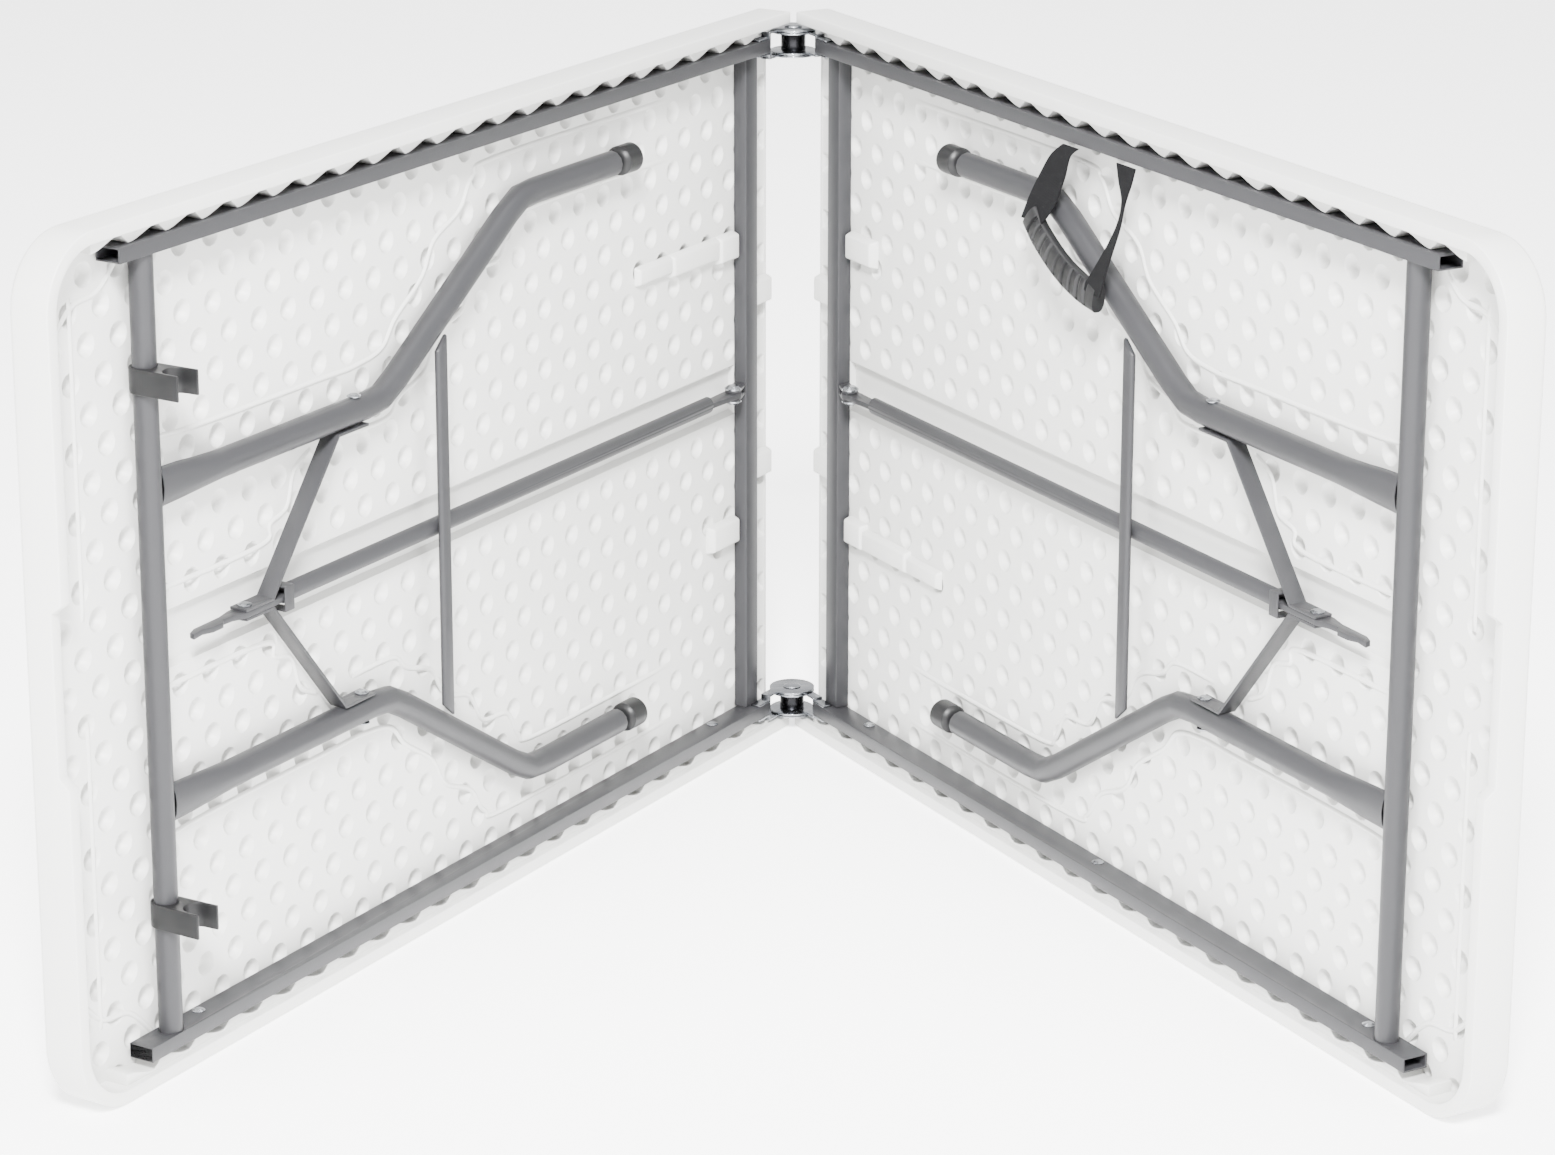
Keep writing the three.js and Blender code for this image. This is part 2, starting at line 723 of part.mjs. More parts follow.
const makeHalf = (side) => {
  const half = new THREE.Group();
  const add = (name, solid, material) => half.add(named(name, solid, material));
  const outer = side === "a";
  add(`top_${side}`, makeTop(side), "plastic");
  for (const end of ["bottom", "top"]) {
    const bottom = end === "bottom";
    const sign = bottom ? -1 : 1;
    add(`rail_${side}_${end}`, makeRail(bottom), "steel");
    add(`hinge_leaf_${side}_${end}`, makeLeaf(bottom, outer), "zinc");
    add(`leg_${side}_${end}`, makeLeg(sign), "steel");
    add(`foot_cap_${side}_${end}`, makeCap(sign), "black");
    add(`strap_${side}_${end}`, makeStrap(sign), "steel");
    const far = sign * (legSpreadInner + legRadius + gap);
    const near = sign * (strapOuterZ - gap);
    add(
      `elbow_rivet_${side}_${end}`,
      makeRivetHead(elbowX, sign, strapInnerZ + strapThickness + gap),
      "zinc",
    );
    add(
      `leg_rivet_${side}_${end}`,
      makeRivet(strapPivotX, railMid, midZ + Math.min(near, far), midZ + Math.max(near, far)),
      "zinc",
    );
  }
  add(`fold_tube_${side}`, makeFoldTube(), "steel");
  add(`pivot_tube_${side}`, makePivotTube(), "steel");
  add(`leg_brace_${side}`, makeBrace(), "steel");
  add(`brace_arm_${side}`, makeArm(), "steel");
  add(`elbow_blade_${side}`, makeBlade(), "steel");
  add(`lock_ring_${side}`, makeRing(), "steel");
  add(`arm_bracket_${side}`, makeBracket(), "steel");
  const earFace = bladeThickness / 2 + gap + strapThickness + gap;
  add(
    `arm_bolt_${side}`,
    makeRivet(armPivotFromHinge, railMid, midZ - earFace, midZ + earFace, boltRadius, boltHeadRadius, 4),
    "zinc",
  );
  screwPlaces(side).forEach((x, i) => add(`rail_screw_${side}_${i + 1}`, makeScrew(x), "zinc"));
  return half;
};

const halfA = makeHalf("a");
clipHeights.forEach((z, i) => halfA.add(named(`clip_${i + 1}`, makeClip(z), "black")));
const halfB = makeHalf("b");
halfB.add(named("handle_webbing_1", makeWebbing(0), "webbing"));
halfB.add(named("handle_webbing_2", makeWebbing(1), "webbing"));
halfB.add(named("handle_grip", makeGrip(), "black"));

const swing = THREE.MathUtils.degToRad(restOpening / 2);
halfA.rotation.z = -Math.PI / 2 - swing;
halfB.rotation.z = -Math.PI / 2 + swing;
halfB.scale.y = -1;

const table = new THREE.Group();
table.add(halfA, halfB);
for (const end of ["bottom", "top"]) {
  table.add(named(`hinge_pin_${end}`, makePin(end === "bottom"), "zinc"));
}

// The origin is the middle of the footprint.
table.updateMatrixWorld(true);
const bounds = new THREE.Box3().setFromObject(table, true);
table.position.set(-(bounds.min.x + bounds.max.x) / 2, -(bounds.min.y + bounds.max.y) / 2, -bounds.min.z);

export default table;
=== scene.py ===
import json
import math

import bpy
from mathutils import Matrix, Vector


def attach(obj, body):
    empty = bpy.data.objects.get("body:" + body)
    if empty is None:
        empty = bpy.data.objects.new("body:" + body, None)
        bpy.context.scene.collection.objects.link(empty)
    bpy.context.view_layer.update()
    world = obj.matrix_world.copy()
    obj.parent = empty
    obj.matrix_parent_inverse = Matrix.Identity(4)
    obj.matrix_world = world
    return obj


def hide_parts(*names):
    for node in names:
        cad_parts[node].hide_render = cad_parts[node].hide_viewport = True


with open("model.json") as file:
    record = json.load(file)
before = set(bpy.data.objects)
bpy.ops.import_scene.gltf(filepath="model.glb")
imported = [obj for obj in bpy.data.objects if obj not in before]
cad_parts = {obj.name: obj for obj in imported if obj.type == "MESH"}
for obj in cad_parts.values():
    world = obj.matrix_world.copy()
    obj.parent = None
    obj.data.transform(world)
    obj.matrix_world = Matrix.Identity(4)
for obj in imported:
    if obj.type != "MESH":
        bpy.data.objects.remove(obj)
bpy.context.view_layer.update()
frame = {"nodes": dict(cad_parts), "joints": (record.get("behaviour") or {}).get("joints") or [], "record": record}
print("frame loaded")

joints = {joint["name"]: joint for joint in frame["joints"]}
hinge = Vector(joints["centre_unfold"]["pos_m"])
halfAngle = math.radians(joints["centre_close"]["range_deg"][0]) / -2

# Each half is modelled lying on its table face:
# X from the fold outwards, Y across, Z up out of the underside.
def halfMatrix(side):
    sign = -1 if side == "a" else 1
    along = Vector((sign * math.sin(halfAngle), -math.cos(halfAngle), 0))
    depth = Vector((-sign * math.cos(halfAngle), -math.sin(halfAngle), 0))
    across = Vector((0, 0, 1))
    rows = [[along[i], across[i], depth[i], (hinge.x, hinge.y, 0)[i]] for i in range(3)]
    return Matrix(rows + [[0, 0, 0, 1]])


def clearPick():
    bpy.ops.object.select_all(action="DESELECT")


def activate(piece):
    clearPick()
    piece.select_set(True)
    bpy.context.view_layer.objects.active = piece


def editing():
    bpy.ops.object.mode_set(mode="EDIT")


def doneEditing():
    bpy.ops.object.mode_set(mode="OBJECT")


def pick(piece, kind, test):
    # selects the faces, edges or vertices whose middle passes the test, and goes to edit mode
    if piece.mode == "EDIT":
        doneEditing()
    mesh = piece.data
    for group in (mesh.vertices, mesh.edges, mesh.polygons):
        group.foreach_set("select", [False] * len(group))
    bpy.context.tool_settings.mesh_select_mode = (kind == "VERT", kind == "EDGE", kind == "FACE")
    if kind == "FACE":
        for face in mesh.polygons:
            face.select = test(face.center, face.normal)
    elif kind == "EDGE":
        for edge in mesh.edges:
            edge.select = test(*[mesh.vertices[i].co for i in edge.vertices])
    else:
        for vertex in mesh.vertices:
            vertex.select = test(vertex.co)
    editing()


def pickAll(piece, kind="FACE"):
    pick(piece, kind, lambda *where: True)


def boxPiece(name, low, high):
    clearPick()
    middle = [(a + b) / 2 for a, b in zip(low, high)]
    bpy.ops.mesh.primitive_cube_add(size=1, location=middle, scale=[b - a for a, b in zip(low, high)])
    piece = bpy.context.active_object
    piece.name = name
    bpy.ops.object.transform_apply(location=True, rotation=True, scale=True)
    return piece


def useModifier(piece, kind, **settings):
    activate(piece)
    modifier = piece.modifiers.new(kind.title(), kind)
    for key, value in settings.items():
        setattr(modifier, key, value)
    bpy.ops.object.modifier_apply(modifier=modifier.name)


def repeat(piece, count, step, merge):
    useModifier(piece, "ARRAY", count=count, use_relative_offset=False, use_constant_offset=True,
                constant_offset_displace=step, use_merge_vertices=True, merge_threshold=merge)


def softEdges(piece, width, segments=2, angle=40):
    useModifier(piece, "BEVEL", width=width, segments=segments, limit_method="ANGLE",
                angle_limit=math.radians(angle), use_clamp_overlap=True)


def smooth(piece, angle=35):
    activate(piece)
    bpy.ops.object.shade_smooth_by_angle(angle=math.radians(angle))


def mergeIn(piece, others):
    activate(piece)
    for other in others:
        other.select_set(True)
    bpy.ops.object.join()
    return piece


def placeOn(piece, side):
    # puts a piece modelled lying down onto its half, and turns its faces back out where that mirrors it
    matrix = halfMatrix(side)
    piece.data.transform(matrix)
    if matrix.determinant() < 0:
        piece.data.flip_normals()
    piece.data.update()


def copyOf(piece, name):
    clearPick()
    piece.select_set(True)
    bpy.context.view_layer.objects.active = piece
    bpy.ops.object.duplicate()
    made = bpy.context.active_object
    made.name = name
    return made


class Wire:
    # a shader socket that does sums
    def __init__(self, finish, socket):
        self.finish = finish
        self.socket = socket

    def __add__(self, other):
        return self.finish.maths("ADD", self, other)

    def __radd__(self, other):
        return self.finish.maths("ADD", other, self)

    def __sub__(self, other):
        return self.finish.maths("SUBTRACT", self, other)

    def __rsub__(self, other):
        return self.finish.maths("SUBTRACT", other, self)

    def __mul__(self, other):
        return self.finish.maths("MULTIPLY", self, other)

    def __rmul__(self, other):
        return self.finish.maths("MULTIPLY", other, self)


class Finish:
    def __init__(self, name):
        self.material = bpy.data.materials.new(name)
        self.material.use_nodes = True
        self.tree = self.material.node_tree
        self.shader = self.tree.nodes["Principled BSDF"]
        self.objectPlace = self.node("ShaderNodeTexCoord", {}, {}, "Object")

    def node(self, kind, settings, inputs, output=0):
        made = self.tree.nodes.new(kind)
        for key, value in settings.items():
            setattr(made, key, value)
        for key, value in inputs.items():
            if isinstance(value, Wire):
                self.tree.links.new(value.socket, made.inputs[key])
            else:
                made.inputs[key].default_value = value
        return Wire(self, made.outputs[output])

    def maths(self, operation, left, right=0):
        return self.node("ShaderNodeMath", {"operation": operation}, {0: left, 1: right})

    def axes(self, place):
        split = self.node("ShaderNodeSeparateXYZ", {}, {0: place}).socket.node
        return [Wire(self, output) for output in split.outputs]

    def set(self, **values):
        names = {"color": "Base Color", "roughness": "Roughness", "metallic": "Metallic",
                 "normal": "Normal", "specular": "Specular IOR Level"}
        for key, value in values.items():
            socket = self.shader.inputs[names[key]]
            if isinstance(value, Wire):
                self.tree.links.new(value.socket, socket)
            else:
                socket.default_value = value

    def noise(self, scale, detail=3, roughness=0.5):
        inputs = {"Vector": self.objectPlace, "Scale": scale, "Detail": detail, "Roughness": roughness}
        return self.node("ShaderNodeTexNoise", {}, inputs, "Fac")

    def mix(self, share, first, second):
        return self.node("ShaderNodeMix", {"data_type": "RGBA"}, {0: share, 6: first, 7: second}, 2)

    def bump(self, height, strength, distance):
        inputs = {"Height": height, "Strength": strength, "Distance": distance}
        return self.node("ShaderNodeBump", {}, inputs)


def colour(r, g, b):
    # linear value of a colour given from 0 to 255
    def linear(v):
        v /= 255
        return v / 12.92 if v <= 0.04045 else ((v + 0.055) / 1.055) ** 2.4
    return (linear(r), linear(g), linear(b), 1)


mouldedLook = {"light": (205, 205, 203), "dark": (198, 198, 195), "roughness": 0.42, "grain": 900}
steelLook = {"light": (50, 50, 52), "dark": (41, 41, 43), "roughness": 0.42, "grain": 1500}
zincLook = {"light": (172, 174, 178), "dark": (112, 115, 120), "roughness": 0.24}
# painted dark reflection on the hinge pins' wide middles: its colour and where the band sits
pinDarkReflection = {"color": (38, 38, 40), "middle": 0.380, "reach": 0.35065, "half": 0.0091, "radius": 0.0128}
blackLook = {"light": (24, 24, 25), "dark": (17, 17, 18), "roughness": 0.42}
webbingLook = {"light": (15, 15, 17), "dark": (4, 4, 5), "weftPitch": 0.0016, "warpPitch": 0.0022}


def makeMoulded():
    finish = Finish("mouldedPlastic")
    cloud = finish.noise(3.5, 4)
    finish.set(color=finish.mix(cloud, colour(*mouldedLook["dark"]), colour(*mouldedLook["light"])))
    finish.set(roughness=mouldedLook["roughness"] - 0.05 + 0.1 * finish.noise(40, 2))
    grain = finish.noise(mouldedLook["grain"], 2)
    ripple = finish.noise(14, 2)
    finish.set(normal=finish.bump(grain * 0.25 + ripple * 4, 0.35, 0.0004))
    finish.set(specular=0.4)
    return finish.material


def makeSteel():
    finish = Finish("powderCoatedSteel")
    fleck = finish.noise(steelLook["grain"], 2, 0.6)
    wide = finish.noise(9, 3)
    cloud = fleck * 0.6 + wide * 0.4
    finish.set(color=finish.mix(cloud, colour(*steelLook["dark"]), colour(*steelLook["light"])))
    finish.set(roughness=steelLook["roughness"] - 0.06 + 0.12 * wide)
    finish.set(normal=finish.bump(finish.noise(steelLook["grain"] * 0.6, 3), 0.35, 0.00025))
    finish.set(specular=0.3)
    return finish.material


def makeZinc():
    # the hinge pins' wide middles get a painted dark reflection, so the colour there follows the height
    finish = Finish("zincPlate")
    cloud = finish.noise(60, 4)
    x, y, z = finish.axes(finish.objectPlace)
    level = finish.maths("ABSOLUTE", finish.maths("ABSOLUTE", z - pinDarkReflection["middle"]) - pinDarkReflection["reach"])
    offX = x - hinge.x
    offY = y - hinge.y
    near = finish.maths("LESS_THAN", finish.maths("SQRT", offX * offX + offY * offY), pinDarkReflection["radius"])
    # mask of the painted dark reflection over the pin barrels
    paintedReflectionMask = finish.maths("LESS_THAN", level, pinDarkReflection["half"]) * near
    plate = finish.mix(cloud, colour(*zincLook["dark"]), colour(*zincLook["light"]))
    finish.set(color=finish.mix(paintedReflectionMask, plate, colour(*pinDarkReflection["color"])))
    finish.set(roughness=zincLook["roughness"] - 0.06 + 0.14 * finish.noise(180, 3))
    finish.set(normal=finish.bump(finish.noise(500, 2), 0.15, 0.0001))
    finish.set(metallic=1.0)
    return finish.material


def makeBlack():
    finish = Finish("blackMoulding")
    cloud = finish.noise(30, 3)
    finish.set(color=finish.mix(cloud, colour(*blackLook["dark"]), colour(*blackLook["light"])))
    finish.set(roughness=blackLook["roughness"] - 0.06 + 0.12 * finish.noise(90, 2))
    finish.set(normal=finish.bump(finish.noise(1400, 2), 0.3, 0.0002), specular=0.3)
    return finish.material


def makeWebbing():
    # a plain weave on the strap's own UV map: U across in metres, V along in metres
    finish = Finish("blackWebbing")
    place = finish.node("ShaderNodeUVMap", {"uv_map": "strapMap"}, {})
    across, along, flat = finish.axes(place)
    rib = finish.maths("SINE", along * (2 * math.pi / webbingLook["weftPitch"]))
    warp = finish.maths("SINE", across * (2 * math.pi / webbingLook["warpPitch"]))
    weave = rib * warp * 0.5 + 0.5
    finish.set(color=finish.mix(weave, colour(*webbingLook["dark"]), colour(*webbingLook["light"])))
    finish.set(roughness=0.82 + 0.1 * weave)
    finish.set(normal=finish.bump(weave, 0.6, 0.0004), specular=0.15)
    return finish.material


moulded = makeMoulded()
steel = makeSteel()
zinc = makeZinc()
black = makeBlack()
webbing = makeWebbing()
finishOf = {"top_plastic": moulded, "frame_steel": steel, "zinc": zinc, "black_plastic": black,
            "black_webbing": webbing}
slotOf = {part["node"]: part["material_slot"] for part in frame["record"]["subparts"]}
print("materials made")


def finishPiece(piece, material, body, nodes=()):
    piece.data.materials.clear()
    piece.data.materials.append(material)
    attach(piece, body)
    if nodes:
        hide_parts(*nodes)


# moulded tops
top = {
    "length": 1.150, "width": 0.760, "depth": 0.044, "rim": 0.002, "foldGap": 0.0015,
    "skirt": 0.012, "skin": 0.002, "corner": 0.062, "edge": 0.007,
    "floor": 0.031, "floorStart": 0.004, "pitch": 0.0415, "row": 0.0294, "firstRow": 0.333,
    "firstColumn": 0.0125, "pitRadius": 0.0098,
    "pitRings": [(1.16, 0.0), (1.0, 0.0012), (0.80, 0.0052), (0.52, 0.0082), (0.30, 0.0088)],
    "grooveLow": 0.3515, "grooveHigh": 0.4035, "grooveDepth": 0.0065,
    "grooveFrom": 0.0646, "grooveTo": 0.9981, "grooveFloorShare": 0.84,
    "notchFrom": 0.309, "notchTo": 0.451, "notchDrop": 0.011, "notchSlope": 0.012,
    "tab": 0.030, "tabRise": 0.0095, "tabFromMiddle": 0.092, "tabEnd": 0.0427,
    "bossStart": 0.0655, "bossFromMiddle": 0.150, "shortBoss": 0.120,
    # along from and to, set in on one side, set down
    "longBoss": [(0.0655, 0.104, 0, 0), (0.100, 0.190, 0.005, 0.0015), (0.186, 0.250, 0.009, 0.003)],
    "lipEnd": 0.0065,
    "scallopStart": 0.030, "scallopPitch": 0.048, "scallopTop": 0.0085, "scallopReach": 0.0222,
    "scallopRise": 0.22, "scallopSteps": 10,
}


def makeShell():
    # skirt and table face: a tray, open at the fold
    shell = boxPiece("shell", (top["foldGap"], 0, -top["depth"]),
                     (top["length"], top["width"], -top["rim"]))
    far = top["length"] - 1e-4
    pick(shell, "EDGE", lambda a, b: a.x > far and b.x > far and abs(a.y - b.y) < 1e-6)
    bpy.ops.mesh.bevel(offset=top["corner"], segments=14, affect="EDGES")
    low = -top["depth"] + 1e-5
    pick(shell, "EDGE", lambda a, b: a.z < low and b.z < low)
    bpy.ops.mesh.bevel(offset=top["edge"], segments=5, affect="EDGES")
    doneEditing()
    inside = top["length"] - top["skirt"]
    pocket = boxPiece("pocket", (-0.05, top["skirt"], top["skin"] - top["depth"]),
                      (inside, top["width"] - top["skirt"], 0.02))
    pick(pocket, "EDGE", lambda a, b: min(a.x, b.x) > inside - 1e-4 and abs(a.y - b.y) < 1e-6)
    bpy.ops.mesh.bevel(offset=top["corner"] - top["skirt"], segments=14, affect="EDGES")
    doneEditing()
    useModifier(shell, "BOOLEAN", operation="DIFFERENCE", object=pocket, solver="EXACT")
    # hand notch in the outer skirt
    cutter = boxPiece("cutter", (top["length"] - 0.03, top["notchFrom"], -top["rim"] - top["notchDrop"]),
                      (top["length"] + 0.03, top["notchTo"], 0.02))
    pick(cutter, "FACE", lambda c, n: n.z > 0.9)
    bpy.ops.transform.resize(value=(1, 1 + 4 * top["notchSlope"] / (top["notchTo"] - top["notchFrom"]), 1))
    doneEditing()
    useModifier(shell, "BOOLEAN", operation="DIFFERENCE", object=cutter, solver="EXACT")
    bpy.data.objects.remove(pocket)
    bpy.data.objects.remove(cutter)
    softEdges(shell, 0.0022, 3, 50)
    return shell


def makePit():
    # one cell of the underside: a cone-shaped pit in a flat rectangle
    clearPick()
    bpy.ops.mesh.primitive_circle_add(vertices=12, radius=0.012, fill_type="NGON", location=(0, 0, 0))
    pit = bpy.context.active_object
    pit.name = "pit"
    wide, high = top["pitch"] / 2, top["row"] / 2
    border = [(1, -1), (1, 0), (1, 1), (0.5, 1), (0, 1), (-0.5, 1), (-1, 1), (-1, 0), (-1, -1),
              (-0.5, -1), (0, -1), (0.5, -1)]
    order = sorted(pit.data.vertices, key=lambda v: math.atan2(v.co.y, v.co.x) % (2 * math.pi))
    start = math.atan2(-high, wide)
    border.sort(key=lambda p: (math.atan2(p[1] * high, p[0] * wide) - start + 1e-6) % (2 * math.pi))
    for vertex, place in zip(order, border):
        vertex.co = (place[0] * wide, place[1] * high, 0)
    evenTurn = [start + 0.12 + i * math.pi / 6 for i in range(12)]
    for radiusShare, depth in top["pitRings"]:
        pick(pit, "FACE", lambda c, n: len(pit.data.polygons) == 1 or c.xy.length < 1e-3 and n.z > 0.2)
        bpy.ops.mesh.inset(thickness=0.0006)
        doneEditing()
        inner = [v for v in pit.data.vertices if v.select]
        inner.sort(key=lambda v: (math.atan2(v.co.y, v.co.x) - start + 1e-3) % (2 * math.pi))
        for vertex, angle in zip(inner, evenTurn):
            radius = top["pitRadius"] * radiusShare
            vertex.co = (radius * math.cos(angle), radius * math.sin(angle), -depth)
        pit.data.update()
    return pit


def makeFloor():
    pit = makePit()
    columns = int(top["length"] / top["pitch"]) + 3
    rows = int(top["width"] / top["row"] / 2) + 2
    repeat(pit, columns, (top["pitch"], 0, 0), 0.0002)
    second = copyOf(pit, "secondRow")
    second.data.transform(Matrix.Translation((-top["pitch"] / 2, top["row"], 0)))
    mergeIn(pit, [second])
    repeat(pit, rows, (0, 2 * top["row"], 0), 0.0002)
    startRow = top["firstRow"] - math.ceil(top["firstRow"] / top["row"] / 2) * 2 * top["row"]
    pit.data.transform(Matrix.Translation((top["firstColumn"] - top["pitch"], startRow, -top["floor"])))
    edges = [((top["floorStart"], 0, 0), (-1, 0, 0)), ((top["length"] - top["skirt"], 0, 0), (1, 0, 0)),
             ((0, top["skirt"], 0), (0, -1, 0)), ((0, top["width"] - top["skirt"], 0), (0, 1, 0))]
    middle = top["width"] / 2
    for place, away in edges:
        pickAll(pit)
        bpy.ops.mesh.bisect(plane_co=place, plane_no=away, clear_outer=True)
    for place, away in [((0, top["grooveLow"], 0), (0, 1, 0)), ((0, top["grooveHigh"], 0), (0, 1, 0)),
                        ((top["grooveFrom"], 0, 0), (1, 0, 0)), ((top["grooveTo"], 0, 0), (1, 0, 0))]:
        pickAll(pit)
        bpy.ops.mesh.bisect(plane_co=place, plane_no=away)
    pick(pit, "FACE", lambda c, n: top["grooveLow"] < c.y < top["grooveHigh"]
         and top["grooveFrom"] < c.x < top["grooveTo"])
    bpy.ops.mesh.delete(type="FACE")
    pickAll(pit)
    bpy.ops.mesh.remove_doubles(threshold=0.00005)
    doneEditing()
    # corners of the sheet that would stand out past the rounded skirt
    pick(pit, "FACE", lambda c, n: c.x > top["length"] - top["corner"]
         and abs(c.y - middle) > middle - top["corner"]
         and math.hypot(c.x - top["length"] + top["corner"], abs(c.y - middle) - middle + top["corner"])
         > top["corner"] - 0.006)
    bpy.ops.mesh.delete(type="FACE")
    doneEditing()
    return pit


def makeGroove():
    groove = boxPiece("groove", (top["grooveFrom"], top["grooveLow"], -top["floor"] - top["grooveDepth"]),
                      (top["grooveTo"], top["grooveHigh"], -top["floor"]))
    pick(groove, "FACE", lambda c, n: n.z > 0.9)
    bpy.ops.mesh.delete(type="FACE")
    pick(groove, "FACE", lambda c, n: n.z < -0.9)
    bpy.ops.transform.resize(value=(1, top["grooveFloorShare"], 1))
    pickAll(groove)
    bpy.ops.mesh.flip_normals()
    doneEditing()
    return groove


def raisedBlock(name, low, high, slope=0.003):
    # a boss with sloped sides and soft edges
    block = boxPiece(name, low, high)
    pick(block, "FACE", lambda c, n: n.z > 0.9)
    shareX = 1 - 2 * slope / (high[0] - low[0])
    shareY = 1 - 2 * slope / (high[1] - low[1])
    bpy.ops.transform.resize(value=(shareX, shareY, 1))
    doneEditing()
    softEdges(block, 0.0022, 3, 30)
    return block


def makeBosses():
    middle = top["width"] / 2
    low, high = -top["floor"] - 0.001, -top["floor"] + top["tabRise"]
    half = top["tab"] / 2
    made = []
    for sign in (-1, 1):
        y = middle + sign * top["tabFromMiddle"]
        made.append(raisedBlock("tab", (top["foldGap"], y - half, low), (top["tabEnd"], y + half, high)))
    y = middle + top["bossFromMiddle"]
    for start, end, setIn, setDown in top["longBoss"]:
        made.append(raisedBlock("longBoss", (start, y - half + setIn, low),
                                (end, y + half, high - setDown)))
    y = middle - top["bossFromMiddle"]
    made.append(raisedBlock("shortBoss", (top["bossStart"], y - half, low),
                            (top["shortBoss"], y + half, high)))
    lip = boxPiece("foldLip", (top["foldGap"], top["skirt"] - 0.001, -top["depth"] + 0.001),
                   (top["lipEnd"], top["width"] - top["skirt"] + 0.001, -top["floor"] + 0.0004))
    softEdges(lip, 0.001, 2)
    made.append(lip)
    return made


def mirrorAcross(piece):
    piece.data.transform(Matrix.Translation((0, top["width"], 0)) @ Matrix.Diagonal((1, -1, 1, 1)))
    piece.data.flip_normals()


def makeScallops():
    # the skirt's inner side comes down to the rail in a row of scallops
    near = top["skirt"] - 0.001
    far = top["scallopReach"]
    steep = top["scallopRise"]
    clearPick()
    bpy.ops.mesh.primitive_grid_add(x_subdivisions=top["scallopSteps"], y_subdivisions=1, size=1,
                                    location=(0.5, 0.5, 0))
    strip = bpy.context.active_object
    strip.name = "scallop"
    bpy.ops.object.transform_apply(location=True, rotation=True, scale=True)
    for vertex in strip.data.vertices:
        t = vertex.co.x
        rise = min(t / steep, 1) if t < steep else 1 - (t - steep) / (1 - steep)
        rise = rise * rise * (3 - 2 * rise)
        reach = far - (far - near - 0.0025) * rise
        vertex.co = (t * top["scallopPitch"], near if vertex.co.y < 0.5 else reach, -top["scallopTop"])
    pickAll(strip)
    down = (0, 0, top["scallopTop"] - top["floor"] - 0.002)
    bpy.ops.mesh.extrude_region_move(TRANSFORM_OT_translate={"value": down})
    pickAll(strip)
    bpy.ops.mesh.normals_make_consistent(inside=False)
    doneEditing()
    count = int((top["length"] - 0.075) / top["scallopPitch"])
    repeat(strip, count, (top["scallopPitch"], 0, 0), 0.0001)
    pick(strip, "FACE", lambda c, n: abs(n.x) > 0.95 and 0.03 < c.x < count * top["scallopPitch"] - 0.001)
    bpy.ops.mesh.delete(type="FACE")
    doneEditing()
    strip.data.transform(Matrix.Translation((top["scallopStart"], 0, 0)))
    softEdges(strip, 0.0022, 2, 50)
    other = copyOf(strip, "scallopFar")
    mirrorAcross(other)
    return [strip, other]


def alongPath(points, t):
    # a smooth line through the points, t from 0 to 1
    last = len(points) - 1
    place = min(max(t, 0), 1) * last
    i = min(int(place), last - 1)
    local = place - i
    p0, p1, p2, p3 = [Vector(points[min(max(k, 0), last)]) for k in (i - 1, i, i + 1, i + 2)]
    return 0.5 * (2 * p1 + (p2 - p0) * local + (2 * p0 - 5 * p1 + 4 * p2 - p3) * local ** 2
                  + (3 * p1 - p0 - 3 * p2 + p3) * local ** 3)


def gridPiece(name, across, along, place):
    # a grid of faces whose points are put where place(s, t) says
    clearPick()
    bpy.ops.mesh.primitive_grid_add(x_subdivisions=across, y_subdivisions=along, size=1,
                                    location=(0.5, 0.5, 0))
    piece = bpy.context.active_object
    piece.name = name
    bpy.ops.object.transform_apply(location=True, rotation=True, scale=True)
    for vertex in piece.data.vertices:
        vertex.co = place(min(max(vertex.co.x, 0), 1), min(max(vertex.co.y, 0), 1))
    return piece


def makeCrease(name, points, steps):
    # a low rounded ridge along a line of points (along, across)
    line = [(u, y, 0) for u, y in points]

    def place(s, t):
        spot = alongPath(line, t)
        ahead = (alongPath(line, min(t + 0.004, 1)) - alongPath(line, max(t - 0.004, 0))).normalized()
        side = Vector((-ahead.y, ahead.x, 0))
        rise = crease["high"] * (1 - (2 * s - 1) ** 2) * min(1, 24 * t, 24 * (1 - t))
        return spot + side * (s - 0.5) * crease["wide"] + Vector((0, 0, rise - top["floor"] + 0.00006))
    ridge = gridPiece(name, 6, steps, place)
    pickAll(ridge)
    bpy.ops.mesh.normals_make_consistent(inside=False)
    doneEditing()
    if ridge.data.polygons[0].normal.z < 0:
        ridge.data.flip_normals()
    return ridge


crease = {
    "wide": 0.0052, "high": 0.0017,
    # lines of points and their steps, each drawn again on the other side of the middle
    "lines": [
        ([(0.190, 0.641), (0.300, 0.642), (0.440, 0.641), (0.462, 0.631), (0.480, 0.604), (0.520, 0.598),
          (0.541, 0.568), (0.580, 0.554), (0.602, 0.524), (0.640, 0.510), (0.662, 0.494),
          (0.724, 0.494)], 110),
        ([(0.190, 0.700), (0.480, 0.700), (0.520, 0.690), (0.542, 0.662), (0.583, 0.642), (0.603, 0.612),
          (0.645, 0.583), (0.667, 0.560), (0.707, 0.553), (0.760, 0.553), (0.970, 0.556), (0.985, 0.575),
          (0.988, 0.700)], 130),
        ([(0.775, 0.494), (0.800, 0.480), (0.812, 0.450), (0.836, 0.441), (0.850, 0.425),
          (0.985, 0.424)], 60),
        ([(1.090, 0.424), (1.090, 0.700)], 40),
        ([(1.010, 0.742), (1.050, 0.700), (1.090, 0.690), (1.128, 0.650)], 40),
    ],
}


